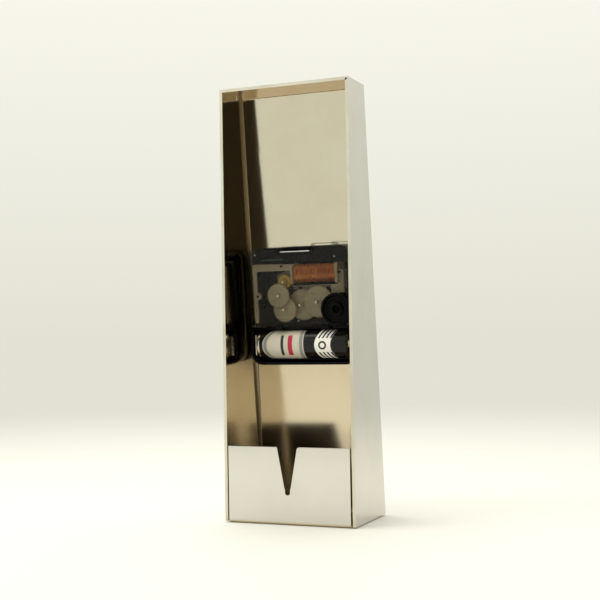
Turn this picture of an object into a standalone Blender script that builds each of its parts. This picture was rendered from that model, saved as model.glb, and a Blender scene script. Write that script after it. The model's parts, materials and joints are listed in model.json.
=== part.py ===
"""Mantel clock: a folded sheet-steel case that carries a battery-driven quartz movement.

All sizes below are in millimetres; MM turns them into Blender's metres when a mesh is made.
Clock frame: +Z up, the dial faces -Y, +X is the right hand of someone reading the dial. The origin
is under the middle of the base. The movement has a frame of its own, centred on the hand shaft at the
inner face of the front plate: +X across, +Y up along the plate, +Z out of the plate's back.
"""

import math

import bmesh
import bpy
from mathutils import Matrix
from mathutils.geometry import tessellate_polygon

MM = 0.001

# case: one sheet, folded into a front plate, two flanks, a top, a foot and a short rear flap
CASE_H = 210.0
CASE_W = 67.0
CASE_DEPTH_FOOT = 43.0
CASE_DEPTH_TOP = 22.0
SHEET = 1.5
BEND_R = 2.0
FLANK_LIFT = 0.6
FLAP_H = 36.7
FLAP_GAP_LEFT = 0.9
FLAP_GAP_RIGHT = 0.6
NOTCH_X = 0.6
NOTCH_TOP_W = 9.9
NOTCH_ROOT_W = 3.2
NOTCH_V_DEPTH = 19.4
NOTCH_DEPTH = 22.7
NOTCH_SLOT_R = 1.3
SHAFT_UP_PLATE = 106.2
SHAFT_HOLE_R = 4.3

# movement body
BODY_LEFT, BODY_RIGHT = -27.8, 28.2
BODY_LOW, BODY_TOP = -29.5, 28.4
BODY_CORNER_R = 5.5
BAY_TOP = -11.0
BASE_BACK, BASE_FRONT = 1.8, 0.8
BASE_RIM = 5.0
BAY_RIM = 12.5
WALL = 1.2
COVER_LOW = -10.7
COVER_RIM, COVER_IN, COVER_OUT = 5.3, 13.6, 14.6
COVER_WALL = 0.8
RECESS_LEFT, RECESS_RIGHT, RECESS_FLOOR = -9.2, 7.2, 26.1
RECESS_FLARE = 1.5
LOOP_LEFT, LOOP_RIGHT, LOOP_RISE = 7.4, 21.4, 1.6
LOOP_BACK, LOOP_FRONT = 13.9, 12.2
LATCHES = ((-12.4, -9.2), (11.0, 15.3))
LATCH_END = 15.4

# battery
CELL_R, CELL_LEFT, CELL_RIGHT = 7.1, -24.5, 26.0
CELL_V, CELL_W = -19.6, 9.2
NUB_R, NUB_LEN = 2.75, 1.1

# gear train: places in the movement frame
CENTRE = (0.0, 0.0)
ROTOR_AT = (-8.3, 11.5)
FIFTH_AT = (-11.4, 4.8)
FOURTH_AT = (-8.8, -2.1)
THIRD_AT = (8.7, 1.2)
INTERMEDIATE_AT = (6.5, -0.3)
KNOB_AT = (20.3, -2.2)

# gear train: teeth
ROTOR_PINION, FIFTH_WHEEL = 10, 40
FIFTH_PINION, FOURTH_WHEEL = 8, 40
FOURTH_PINION, SECOND_WHEEL = 8, 48
SECOND_PINION, THIRD_WHEEL = 8, 60
THIRD_PINION, CENTRE_WHEEL = 8, 64
CANNON_PINION, INTERMEDIATE_WHEEL = 12, 36
INTERMEDIATE_PINION, HOUR_WHEEL = 10, 40
IDLER, KNOB_PINION = 30, 14

# gear train: layers, as (front, back) distances behind the front plate
LAYER_HOUR = (3.0, 3.7)
LAYER_MOTION = (4.1, 4.8)
LAYER_CENTRE = (5.4, 6.0)
LAYER_BRIDGE = (6.6, 7.4)
LAYER_SECOND = (8.6, 9.2)
LAYER_THIRD = (10.2, 10.8)
LAYER_FOURTH = (11.3, 11.9)
LAYER_FIFTH = (12.5, 13.0)
ARBOR_R = 0.5
PIVOT_R = 0.58
PIVOT_END = 14.2

# pipes, posts, knob and coil
MINUTE_PIPE_R, MINUTE_BORE_R = 1.28, 0.75
HOUR_PIPE_R, HOUR_BORE_R = 2.3, 1.42
HOUR_PIPE_END, MINUTE_PIPE_END = -5.9, -7.3
BUSH_R = 4.0
KNOB_R, KNOB_SHAFT_R, POST_R = 8.0, 2.1, 0.8
KNOB_FRONT, KNOB_BACK, KNOB_DISH_R = 15.0, 17.8, 6.3
ARM_BOSS_AT = (-22.9, 4.7)
BRIDGE_POSTS = ((-21.0, -6.6), (-21.5, 20.0), (8.0, -7.8), (15.6, 7.0))
COIL_V, COIL_W, COIL_R = 15.2, 8.6, 4.65
COIL_LEFT, COIL_RIGHT = -2.9, 18.7

# hands, clockwise from twelve, in degrees
HOUR_ANGLE, MINUTE_ANGLE, SECOND_ANGLE = 305.0, 60.0, 215.0
HOUR_LEN, MINUTE_LEN, SECOND_LEN = 18.5, 27.0, 26.0

ROUND = 20

MATERIALS = {
    "steel": ((0.72, 0.70, 0.66), 0.12, 1.0),
    "black_plastic": ((0.012, 0.012, 0.013), 0.25, 0.0),
    "smoke_plastic": ((0.10, 0.09, 0.08), 0.15, 0.0),
    "clear_plastic": ((0.55, 0.53, 0.46), 0.35, 0.0),
    "cream_plastic": ((0.62, 0.57, 0.45), 0.45, 0.0),
    "amber_plastic": ((0.62, 0.42, 0.10), 0.35, 0.0),
    "copper_wire": ((0.75, 0.28, 0.12), 0.35, 1.0),
    "soft_iron": ((0.45, 0.45, 0.46), 0.4, 1.0),
    "board": ((0.10, 0.22, 0.10), 0.5, 0.0),
    "epoxy": ((0.015, 0.015, 0.015), 0.4, 0.0),
    "spring_steel": ((0.80, 0.79, 0.76), 0.25, 1.0),
    "brass": ((0.80, 0.62, 0.30), 0.25, 1.0),
    "cell_jacket": ((0.60, 0.58, 0.52), 0.3, 1.0),
    "rubber": ((0.02, 0.02, 0.02), 0.8, 0.0),
    "hand_paint": ((0.02, 0.02, 0.02), 0.4, 0.0),
}


# ---------------------------------------------------------------- scene and meshes


def clear_scene():
    for obj in list(bpy.data.objects):
        bpy.data.objects.remove(obj, do_unlink=True)


def material(name):
    made = bpy.data.materials.get(name)
    if made:
        return made
    colour, roughness, metallic = MATERIALS[name]
    made = bpy.data.materials.new(name)
    made.use_nodes = True
    shader = made.node_tree.nodes["Principled BSDF"]
    shader.inputs["Base Color"].default_value = (*colour, 1.0)
    shader.inputs["Roughness"].default_value = roughness
    shader.inputs["Metallic"].default_value = metallic
    return made


def circle(radius, centre=(0.0, 0.0), count=ROUND, phase=0.0):
    step = 2 * math.pi / count
    return [
        (
            centre[0] + radius * math.cos(phase + i * step),
            centre[1] + radius * math.sin(phase + i * step),
        )
        for i in range(count)
    ]


def rectangle(left, right, low, high):
    return [(left, low), (right, low), (right, high), (left, high)]


def rounded(points, radius, steps=4):
    """The outline with each corner turned into an arc that touches both of its sides."""
    made = []
    for i, corner in enumerate(points):
        r = radius[i] if isinstance(radius, (list, tuple)) else radius
        if r <= 0:
            made.append(corner)
            continue
        before, after = points[i - 1], points[(i + 1) % len(points)]
        back = math.atan2(before[1] - corner[1], before[0] - corner[0])
        on = math.atan2(after[1] - corner[1], after[0] - corner[0])
        half = wrapped(on - back) / 2
        reach = r / math.sin(abs(half))
        centre = [corner[k] + reach * (math.cos, math.sin)[k](back + half) for k in (0, 1)]
        side = math.copysign(math.pi / 2, half)
        sweep = wrapped((on + side) - (back - side))
        for k in range(steps + 1):
            angle = back - side + sweep * k / steps
            made.append((centre[0] + r * math.cos(angle), centre[1] + r * math.sin(angle)))
    return made


def wrapped(angle):
    return (angle + math.pi) % (2 * math.pi) - math.pi


def prism(outline, low, high, holes=()):
    """A plate: the outline with its holes, filled from low to high along Z."""
    mesh = bmesh.new()
    loops = [outline, *holes]
    flat = [point for loop in loops for point in loop]
    levels = [[mesh.verts.new((x * MM, y * MM, z * MM)) for x, y in flat] for z in (low, high)]
    for corners in tessellate_polygon([[(x, y, 0.0) for x, y in loop] for loop in loops]):
        for level in levels:
            mesh.faces.new([level[i] for i in corners])
    start = 0
    for loop in loops:
        size = len(loop)
        for i in range(size):
            a, b = start + i, start + (i + 1) % size
            mesh.faces.new([levels[0][a], levels[0][b], levels[1][b], levels[1][a]])
        start += size
    bmesh.ops.recalc_face_normals(mesh, faces=mesh.faces)
    return mesh


def turned(profile, centre=(0.0, 0.0), count=ROUND):
    """A solid turned about Z from (z, radius) points, low end first, closed with a flat face at each end."""
    mesh = bmesh.new()
    rings = [
        [mesh.verts.new((x * MM, y * MM, z * MM)) for x, y in circle(radius, centre, count)]
        for z, radius in profile
    ]
    for lower, upper in zip(rings, rings[1:]):
        for i in range(count):
            k = (i + 1) % count
            mesh.faces.new([lower[i], lower[k], upper[k], upper[i]])
    mesh.faces.new(rings[0])
    mesh.faces.new(rings[-1])
    bmesh.ops.recalc_face_normals(mesh, faces=mesh.faces)
    return mesh


def tube(outer, inner, low, high, count=ROUND):
    return prism(circle(outer, count=count), low, high, [circle(inner, count=count)])


def sideways(mesh, centre):
    """Turns a mesh made along Z to lie along X, with its axis at centre, a (y, z) place."""
    matrix = Matrix(((0, 0, 1, 0), (1, 0, 0, centre[0] * MM), (0, 1, 0, centre[1] * MM), (0, 0, 0, 1)))
    bmesh.ops.transform(mesh, matrix=matrix, verts=mesh.verts)
    return mesh


def new_object(name, mesh, slot, at=(0.0, 0.0), parent=None, smooth=True):
    data = bpy.data.meshes.new(name)
    mesh.to_mesh(data)
    mesh.free()
    made = bpy.data.objects.new(name, data)
    bpy.context.collection.objects.link(made)
    made.location = (at[0] * MM, at[1] * MM, 0.0)
    made.parent = parent
    if slot:
        data.materials.append(material(slot))
    if smooth:
        data.shade_smooth()
        data.set_sharp_from_angle(angle=math.radians(30))
    return made


def combine(target, meshes, operation):
    """Applies one EXACT Boolean per mesh to the target object and leaves no helper behind."""
    for mesh in meshes:
        helper = new_object("helper", mesh, None, smooth=False)
        helper.parent = target.parent
        helper.location = target.location
        step = target.modifiers.new("join", "BOOLEAN")
        step.operation = operation
        step.solver = "EXACT"
        step.object = helper
        bpy.context.view_layer.update()
        graph = bpy.context.evaluated_depsgraph_get()
        made = bpy.data.meshes.new_from_object(target.evaluated_get(graph))
        target.modifiers.clear()
        target.data = made
        bpy.data.objects.remove(helper, do_unlink=True)
    target.data.shade_smooth()
    target.data.set_sharp_from_angle(angle=math.radians(30))
    return target


def built(name, slot, meshes, at=(0.0, 0.0), parent=None, cuts=()):
    """One object from overlapping closed meshes, less the cuts."""
    made = new_object(name, meshes[0], slot, at, parent)
    combine(made, meshes[1:], "UNION")
    combine(made, cuts, "DIFFERENCE")
    return made


# ---------------------------------------------------------------- case


PLATE_LEAN = math.atan2(CASE_DEPTH_FOOT - CASE_DEPTH_TOP, CASE_H)
REAR = CASE_DEPTH_FOOT / 2
ACROSS = SHEET / math.cos(PLATE_LEAN)


def plate_y(z, inside):
    """Y of the front plate's outer or inner face at height z."""
    return -REAR + z * math.tan(PLATE_LEAN) + (ACROSS if inside else 0.0)


def along_x(outline, low, high):
    """A (y, z) outline extruded along X."""
    mesh = prism(outline, low, high)
    matrix = Matrix(((0, 0, 1, 0), (1, 0, 0, 0), (0, 1, 0, 0), (0, 0, 0, 1)))
    bmesh.ops.transform(mesh, matrix=matrix, verts=mesh.verts)
    return mesh


def along_y(outline, low, high):
    """An (x, z) outline extruded along Y."""
    mesh = prism(outline, low, high)
    matrix = Matrix(((1, 0, 0, 0), (0, 0, 1, 0), (0, 1, 0, 0), (0, 0, 0, 1)))
    bmesh.ops.transform(mesh, matrix=matrix, verts=mesh.verts)
    bmesh.ops.recalc_face_normals(mesh, faces=mesh.faces)
    return mesh


def fold_cut(outline, corner):
    """What a fold takes off a square corner: the space between the corner and its arc."""
    radii = [BEND_R if i == corner else 0 for i in range(len(outline))]
    arc = rounded(outline, radii, 5)[corner : corner + 6]
    y, z = outline[corner]
    return arc + [(y + math.copysign(1.0, y), z - 1.0)]


def notch_outline():
    """The hanging notch in the flap: a V with eased shoulders, then a short slot with a round end."""
    top, root = FLAP_H, FLAP_H - NOTCH_V_DEPTH
    half_top, half_root = NOTCH_TOP_W / 2, NOTCH_ROOT_W / 2
    centre = FLAP_H - NOTCH_DEPTH + NOTCH_SLOT_R
    left = [
        (NOTCH_X - half_top - 0.6, top + 3),
        (NOTCH_X - half_top - 0.6, top),
        (NOTCH_X - half_top, top - 1.2),
        (NOTCH_X - half_root, root),
        (NOTCH_X - NOTCH_SLOT_R, root - 0.3),
    ]
    end = [(x, z) for x, z in circle(NOTCH_SLOT_R, (NOTCH_X, centre), 16, math.pi)][:9]
    right = [(2 * NOTCH_X - x, z) for x, z in reversed(left)]
    return left + end + right


def make_case():
    half, inner = CASE_W / 2, CASE_W / 2 - SHEET
    outer = [(-REAR, 0.0), (REAR, 0.0), (REAR, CASE_H), (plate_y(CASE_H, False), CASE_H)]
    cavity = [
        (plate_y(SHEET, True), SHEET),
        (REAR - SHEET, SHEET),
        (REAR - SHEET, CASE_H - SHEET),
        (plate_y(CASE_H - SHEET, True), CASE_H - SHEET),
    ]
    mouth = rectangle(REAR - 3 * SHEET, REAR + 5, FLAP_H, CASE_H - SHEET)
    side_gap = [
        (-REAR + 3, -2.0),
        (REAR + 5, -2.0),
        (REAR + 5, FLAP_H + 2),
        (REAR - 2 * SHEET, FLAP_H + 2),
        (REAR - 2 * SHEET, SHEET + 1),
        (-REAR + 3, SHEET + 1),
    ]
    lift = rectangle(-REAR - 5, REAR + 5, -2.0, FLANK_LIFT)
    shell = new_object("case_shell", along_x(outer, -half, half), "steel")
    cuts = [
        along_x(rounded(cavity, [0.5, 0.5, 0, 0]), -inner, inner),
        along_x(mouth, -inner, inner),
        along_x(side_gap, inner - FLAP_GAP_RIGHT, inner),
        along_x(side_gap, -inner, -inner + FLAP_GAP_LEFT),
        along_x(lift, inner - FLAP_GAP_RIGHT, half + 2),
        along_x(lift, -half - 2, -inner + FLAP_GAP_LEFT),
        along_x(fold_cut(outer, 0), -inner, inner),
        along_x(fold_cut(outer, 1), -inner, inner),
        along_y(notch_outline(), REAR - 3 * SHEET, REAR + 5),
        tilted(prism(circle(SHAFT_HOLE_R, count=24), -4.0, 3.0)),
    ]
    return combine(shell, cuts, "DIFFERENCE")


def movement_matrix():
    """The movement frame in the clock frame."""
    lean_sin, lean_cos = math.sin(PLATE_LEAN), math.cos(PLATE_LEAN)
    z = SHAFT_UP_PLATE * lean_cos
    y = plate_y(z, True)
    return Matrix(
        (
            (-1, 0, 0, 0),
            (0, lean_sin, lean_cos, y * MM),
            (0, lean_cos, -lean_sin, z * MM),
            (0, 0, 0, 1),
        )
    )


def tilted(mesh):
    bmesh.ops.transform(mesh, matrix=movement_matrix(), verts=mesh.verts)
    return mesh


# ---------------------------------------------------------------- gears


def distance(a, b):
    return math.hypot(b[0] - a[0], b[1] - a[1])


def direction(a, b):
    return math.atan2(b[1] - a[1], b[0] - a[0])


def module_of(teeth_a, at_a, teeth_b, at_b):
    return 2 * distance(at_a, at_b) / (teeth_a + teeth_b)


def gear_outline(teeth, module, phase):
    """Teeth with straight flanks, thinned so that a meshed pair keeps a small backlash."""
    pitch_r = teeth * module / 2
    root_r, tip_r = pitch_r - 1.15 * module, pitch_r + 0.85 * module
    step = 2 * math.pi / teeth
    root_half, tip_half = 0.29 * step, 0.11 * step
    if teeth < 15:
        root_half, tip_half = 0.24 * step, 0.13 * step
    points = []
    for i in range(teeth):
        middle = phase + i * step
        for radius, off in ((root_r, -root_half), (tip_r, -tip_half), (tip_r, tip_half), (root_r, root_half)):
            points.append((radius * math.cos(middle + off), radius * math.sin(middle + off)))
    return points


def mesh_phase(teeth_a, phase_a, at_a, teeth_b, at_b):
    """Where gear b's first tooth stands so that its gaps meet gear a's teeth."""
    toward_b = direction(at_a, at_b)
    share = (toward_b - phase_a) * teeth_a / (2 * math.pi)
    return toward_b + math.pi - 2 * math.pi / teeth_b * (0.5 - share)


def gear(teeth, module, phase, layer, bore=0.0):
    holes = [circle(bore)] if bore else ()
    return prism(gear_outline(teeth, module, phase), layer[0], layer[1], holes)


def idler_place(module):
    """The setting idler touches both the intermediate wheel and the knob's pinion."""
    to_wheel = module * (INTERMEDIATE_WHEEL + IDLER) / 2
    to_knob = module * (KNOB_PINION + IDLER) / 2
    span = distance(INTERMEDIATE_AT, KNOB_AT)
    ahead = (to_wheel**2 - to_knob**2 + span**2) / (2 * span)
    aside = math.sqrt(to_wheel**2 - ahead**2)
    angle = direction(INTERMEDIATE_AT, KNOB_AT)
    return (
        INTERMEDIATE_AT[0] + ahead * math.cos(angle) + aside * math.sin(angle),
        INTERMEDIATE_AT[1] + ahead * math.sin(angle) - aside * math.cos(angle),
    )


def arbor(low, high, radius=ARBOR_R):
    return turned([(low, radius), (high, radius)], count=12)


def make_going_train(frame):
    """Rotor, fifth, fourth, second, third and centre wheels."""
    rotor_module = module_of(ROTOR_PINION, ROTOR_AT, FIFTH_WHEEL, FIFTH_AT)
    fifth_module = module_of(FIFTH_PINION, FIFTH_AT, FOURTH_WHEEL, FOURTH_AT)
    fourth_module = module_of(FOURTH_PINION, FOURTH_AT, SECOND_WHEEL, CENTRE)
    second_module = module_of(SECOND_PINION, CENTRE, THIRD_WHEEL, THIRD_AT)
    third_module = module_of(THIRD_PINION, THIRD_AT, CENTRE_WHEEL, CENTRE)

    rotor_phase = mesh_phase(FIFTH_WHEEL, 0.0, FIFTH_AT, ROTOR_PINION, ROTOR_AT)
    fifth_phase = mesh_phase(FOURTH_WHEEL, 0.0, FOURTH_AT, FIFTH_PINION, FIFTH_AT)
    fourth_phase = mesh_phase(SECOND_WHEEL, 0.0, CENTRE, FOURTH_PINION, FOURTH_AT)
    second_phase = mesh_phase(THIRD_WHEEL, 0.0, THIRD_AT, SECOND_PINION, CENTRE)
    third_phase = mesh_phase(CENTRE_WHEEL, 0.0, CENTRE, THIRD_PINION, THIRD_AT)

    built(
        "rotor",
        "amber_plastic",
        [
            arbor(LAYER_BRIDGE[0] + 0.1, PIVOT_END),
            turned([(8.9, 2.55), (10.6, 2.55)]),
            turned([(10.5, 3.4), (11.7, 3.4)]),
            gear(ROTOR_PINION, rotor_module, rotor_phase, (11.6, LAYER_FIFTH[1])),
        ],
        ROTOR_AT,
        frame,
    )
    built(
        "fifth_wheel",
        "clear_plastic",
        [
            arbor(LAYER_BRIDGE[0] + 0.1, PIVOT_END),
            gear(FIFTH_WHEEL, rotor_module, 0.0, LAYER_FIFTH),
            gear(FIFTH_PINION, fifth_module, fifth_phase, (LAYER_FOURTH[0], LAYER_FIFTH[0] + 0.2)),
        ],
        FIFTH_AT,
        frame,
    )
    built(
        "fourth_wheel",
        "clear_plastic",
        [
            arbor(LAYER_BRIDGE[0] + 0.1, PIVOT_END),
            gear(FOURTH_WHEEL, fifth_module, 0.0, LAYER_FOURTH),
            gear(FOURTH_PINION, fourth_module, fourth_phase, (LAYER_SECOND[0], LAYER_FOURTH[0] + 0.2)),
        ],
        FOURTH_AT,
        frame,
    )
    built(
        "second_wheel",
        "clear_plastic",
        [
            arbor(-8.6, PIVOT_END),
            gear(SECOND_WHEEL, fourth_module, 0.0, LAYER_SECOND),
            gear(SECOND_PINION, second_module, second_phase, (LAYER_SECOND[1] - 0.2, LAYER_THIRD[1])),
        ],
        CENTRE,
        frame,
    )
    built(
        "third_wheel",
        "clear_plastic",
        [
            arbor(LAYER_CENTRE[0] - 0.2, PIVOT_END),
            gear(THIRD_WHEEL, second_module, 0.0, LAYER_THIRD),
            gear(THIRD_PINION, third_module, third_phase, LAYER_CENTRE),
        ],
        THIRD_AT,
        frame,
    )
    new_object(
        "centre_wheel",
        gear(CENTRE_WHEEL, third_module, 0.0, LAYER_CENTRE, MINUTE_PIPE_R + 0.1),
        "clear_plastic",
        CENTRE,
        frame,
    )


def make_motion_works(frame):
    """Cannon pinion, intermediate wheel, hour wheel, setting idler and knob."""
    cannon_module = module_of(CANNON_PINION, CENTRE, INTERMEDIATE_WHEEL, INTERMEDIATE_AT)
    hour_module = module_of(INTERMEDIATE_PINION, INTERMEDIATE_AT, HOUR_WHEEL, CENTRE)
    idler_at = idler_place(cannon_module)

    cannon_phase = mesh_phase(INTERMEDIATE_WHEEL, 0.0, INTERMEDIATE_AT, CANNON_PINION, CENTRE)
    pinion_phase = mesh_phase(HOUR_WHEEL, 0.0, CENTRE, INTERMEDIATE_PINION, INTERMEDIATE_AT)
    idler_phase = mesh_phase(INTERMEDIATE_WHEEL, 0.0, INTERMEDIATE_AT, IDLER, idler_at)
    knob_phase = mesh_phase(IDLER, idler_phase, idler_at, KNOB_PINION, KNOB_AT)

    built(
        "minute_pipe",
        "clear_plastic",
        [
            tube(MINUTE_PIPE_R, MINUTE_BORE_R, MINUTE_PIPE_END, LAYER_CENTRE[1] + 0.3),
            gear(CANNON_PINION, cannon_module, cannon_phase, LAYER_MOTION, 1.0),
        ],
        CENTRE,
        frame,
    )
    built(
        "hour_wheel",
        "clear_plastic",
        [
            tube(HOUR_PIPE_R, HOUR_BORE_R, HOUR_PIPE_END, LAYER_HOUR[1]),
            gear(HOUR_WHEEL, hour_module, 0.0, (LAYER_HOUR[0], LAYER_HOUR[1] - 0.05), 1.9),
        ],
        CENTRE,
        frame,
    )
    built(
        "intermediate_wheel",
        "clear_plastic",
        [
            gear(INTERMEDIATE_WHEEL, cannon_module, 0.0, LAYER_MOTION, POST_R + 0.08),
            gear(INTERMEDIATE_PINION, hour_module, pinion_phase, (LAYER_HOUR[0], 4.3), POST_R + 0.08),
        ],
        INTERMEDIATE_AT,
        frame,
    )
    new_object(
        "setting_idler",
        gear(IDLER, cannon_module, idler_phase, LAYER_MOTION, POST_R + 0.08),
        "clear_plastic",
        idler_at,
        frame,
    )
    make_knob(frame, gear(KNOB_PINION, cannon_module, knob_phase, (3.6, 5.2)))
    return idler_at


def make_knob(frame, pinion):
    """Black knob: a serrated rim round a dished face, its shaft and its pinion."""
    ridges, groove = 36, 0.35
    radii = [KNOB_R if i % 2 else KNOB_R - groove for i in range(2 * ridges)]
    edge = [
        (radius * math.cos(math.pi * i / ridges), radius * math.sin(math.pi * i / ridges))
        for i, radius in enumerate(radii)
    ]
    built(
        "setting_knob",
        "black_plastic",
        [
            prism(edge, KNOB_FRONT, KNOB_BACK, [circle(KNOB_DISH_R, count=24)]),
            turned([(KNOB_FRONT + 0.1, KNOB_DISH_R + 0.6), (16.4, KNOB_DISH_R + 0.6)], count=24),
            turned([(5.0, KNOB_SHAFT_R), (15.6, KNOB_SHAFT_R)]),
            turned([(16.2, 3.3), (17.3, 3.3)]),
            pinion,
            turned([(1.1, POST_R), (4.0, POST_R)], count=12),
        ],
        KNOB_AT,
        frame,
        [turned([(16.7, 1.6), (18.5, 1.6)], count=12)],
    )


# ---------------------------------------------------------------- movement housing


def body_outline(low, high, radius=BODY_CORNER_R, inset=0.0):
    corners = rectangle(BODY_LEFT + inset, BODY_RIGHT - inset, low + inset, high - inset)
    return rounded(corners, radius)


def make_base(frame, idler_at):
    """Black front moulding: floor, low rim, deep battery bay, posts and the two cover latches."""
    outline = body_outline(BODY_LOW, BODY_TOP)
    inner = body_outline(BODY_LOW, BODY_TOP, BODY_CORNER_R - WALL, WALL)
    bay = rounded(rectangle(BODY_LEFT, BODY_RIGHT, BODY_LOW, BAY_TOP), [BODY_CORNER_R, BODY_CORNER_R, 0, 0])
    bay_inside = rounded(
        rectangle(BODY_LEFT + WALL, BODY_RIGHT - WALL + 0.05, BODY_LOW + WALL, BAY_TOP - 0.8),
        [BODY_CORNER_R - WALL, BODY_CORNER_R - WALL, 0, 0],
    )
    floor = BASE_BACK - 0.2
    posts = [turned([(floor, 1.0), (LAYER_BRIDGE[0] - 0.3, 1.0)], at, 12) for at in BRIDGE_POSTS]
    studs = [turned([(floor, POST_R), (5.0, POST_R)], at, 16) for at in (INTERMEDIATE_AT, idler_at)]
    latches = []
    for left, right in LATCHES:
        stem = rectangle(left, right, BAY_TOP - 0.75, BAY_TOP - 0.05)
        hook = rectangle(left + 0.1, right - 0.1, BAY_TOP - 0.7, BAY_TOP + 1.5)
        latches += [prism(stem, BAY_RIM - 1, LATCH_END - 0.1), prism(hook, COVER_OUT + 0.3, LATCH_END)]
    built(
        "movement_base",
        "black_plastic",
        [
            prism(outline, BASE_FRONT, BASE_BACK, [circle(BUSH_R + 0.3, count=24)]),
            prism(outline, floor, BASE_RIM, [inner]),
            prism(bay, floor, BAY_RIM, [bay_inside]),
            *posts,
            *studs,
            *latches,
        ],
        CENTRE,
        frame,
        [prism(circle(POST_R + 0.08, KNOB_AT, 12), 0.0, 4.0)],
    )


def make_cover(frame):
    """Smoke-tinted rear cover with the top recess, the hanging loop, the knob hole and the pivots."""
    corners = [
        (BODY_LEFT, COVER_LOW),
        (BODY_RIGHT, COVER_LOW),
        (BODY_RIGHT, BODY_TOP),
        (RECESS_RIGHT + RECESS_FLARE, BODY_TOP),
        (RECESS_RIGHT, RECESS_FLOOR),
        (RECESS_LEFT, RECESS_FLOOR),
        (RECESS_LEFT - RECESS_FLARE, BODY_TOP),
        (BODY_LEFT, BODY_TOP),
    ]
    big, small = BODY_CORNER_R, 0.8
    outline = rounded(corners, [0, 0, big, small, small, small, small, big])
    in_left, in_right = BODY_LEFT + 1.0, BODY_RIGHT - 1.0
    in_top, in_floor = BODY_TOP - 1.0, RECESS_FLOOR - 1.0
    inside = rounded(
        [
            (in_left, COVER_LOW + COVER_WALL),
            (in_right, COVER_LOW + COVER_WALL),
            (in_right, in_top),
            (RECESS_RIGHT + RECESS_FLARE + 1.0, in_top),
            (RECESS_RIGHT + 1.0, in_floor),
            (RECESS_LEFT - 1.0, in_floor),
            (RECESS_LEFT - RECESS_FLARE - 1.0, in_top),
            (in_left, in_top),
        ],
        [0, 0, big - 1.0, 0, 0, 0, 0, big - 1.0],
    )
    pivots = (ROTOR_AT, FIFTH_AT, FOURTH_AT, CENTRE, THIRD_AT)
    holes = [circle(KNOB_SHAFT_R + 0.25, KNOB_AT)] + [circle(PIVOT_R, at, 12) for at in pivots]
    loop_corners = rectangle(LOOP_LEFT, LOOP_RIGHT, BODY_TOP - 0.6, BODY_TOP + LOOP_RISE)
    loop = rounded(loop_corners, [0, 0, 1.2, 1.2])
    eye = rounded(rectangle(LOOP_LEFT + 1.7, LOOP_RIGHT - 1.7, BODY_TOP + 0.3, BODY_TOP + 1.0), 0.3)
    built(
        "movement_cover",
        "smoke_plastic",
        [
            prism(outline, COVER_IN, COVER_OUT, holes),
            prism(outline, COVER_RIM, COVER_IN + 0.2, [inside]),
            prism(loop, LOOP_FRONT, LOOP_BACK, [eye]),
        ],
        CENTRE,
        frame,
    )


def make_bridge(frame):
    outline = [(-24.5, -9.4), (17.0, -9.4), (17.0, 9.4), (-4.8, 9.4), (-4.8, 22.0), (-24.5, 22.0)]
    pivots = (ROTOR_AT, FIFTH_AT, FOURTH_AT, CENTRE, THIRD_AT)
    holes = [circle(PIVOT_R, at, 12) for at in pivots]
    shape = rounded(outline, [1.5, 1.5, 1.5, 0, 1.5, 1.5])
    new_object("gear_bridge", prism(shape, *LAYER_BRIDGE, holes), "cream_plastic", CENTRE, frame)


def make_coil(frame):
    """Winding, iron core, stator plates and the cream frame that holds them."""
    axis = (COIL_V, COIL_W)
    winding = sideways(tube(COIL_R, 2.6, COIL_LEFT, COIL_RIGHT, 24), axis)
    new_object("coil_winding", winding, "copper_wire", CENTRE, frame)
    core = prism(rectangle(-6.3, 23.6, COIL_V - 1.5, COIL_V + 1.5), COIL_W - 0.6, COIL_W + 0.6)
    new_object("coil_core", core, "soft_iron", CENTRE, frame)

    rotor_hole = circle(3.0, ROTOR_AT, 16)
    stator_outline = [
        (-12.9, 7.6),
        (23.6, 7.6),
        (23.6, COIL_V + 1.5),
        (21.8, COIL_V + 1.5),
        (21.8, 9.6),
        (-4.6, 9.6),
        (-4.6, COIL_V + 1.5),
        (-8.4, COIL_V + 1.5),
        (-12.9, 14.8),
    ]
    stator = prism(stator_outline, COIL_W + 0.9, COIL_W + 1.5, [rotor_hole])
    new_object("stator", stator, "soft_iron", CENTRE, frame)

    flange = 4.9
    slot = rectangle(COIL_V - 1.8, COIL_V + 1.8, COIL_W - 0.9, COIL_W + 0.9)
    spool = prism(circle(2.3, axis, 16), COIL_LEFT - 0.9, COIL_RIGHT + 0.9, [slot])
    square = rectangle(COIL_V - flange, COIL_V + flange, COIL_W - flange, COIL_W + flange)
    ends = []
    for low, high in ((COIL_LEFT - 1.3, COIL_LEFT - 0.3), (COIL_RIGHT + 0.3, COIL_RIGHT + 1.7)):
        ends.append(sideways(prism(rounded(square, 0.8, 2), low, high, [circle(2.1, axis, 16)]), (0, 0)))
    arm = rounded(
        [
            (COIL_LEFT - 0.7, 17.0),
            (COIL_LEFT - 0.7, 20.0),
            (-24.8, 20.6),
            (-24.8, -8.6),
            (-22.8, -8.6),
            (-22.8, 17.0),
        ],
        [0, 0, 1.0, 0.4, 0.4, 0.8],
        2,
    )
    boss = prism(circle(1.9, ARM_BOSS_AT, 16), 11.3, 12.9, [circle(0.7, ARM_BOSS_AT, 12)])
    bracket = [
        (COIL_RIGHT + 1.0, 16.6),
        (COIL_RIGHT + 1.0, 9.6),
        (16.1, 9.6),
        (16.1, 5.4),
        (22.8, 5.4),
        (22.8, 16.6),
    ]
    built(
        "coil_frame",
        "cream_plastic",
        [
            sideways(spool, (0, 0)),
            *ends,
            prism(arm, 11.5, 12.7),
            prism(rounded(bracket, [0, 0, 0.5, 0.5, 0.6, 0.6], 2), 10.5, 11.7),
            boss,
        ],
        CENTRE,
        frame,
        [prism(circle(0.7, ARM_BOSS_AT, 12), 11.0, 13.5)],
    )


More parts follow.
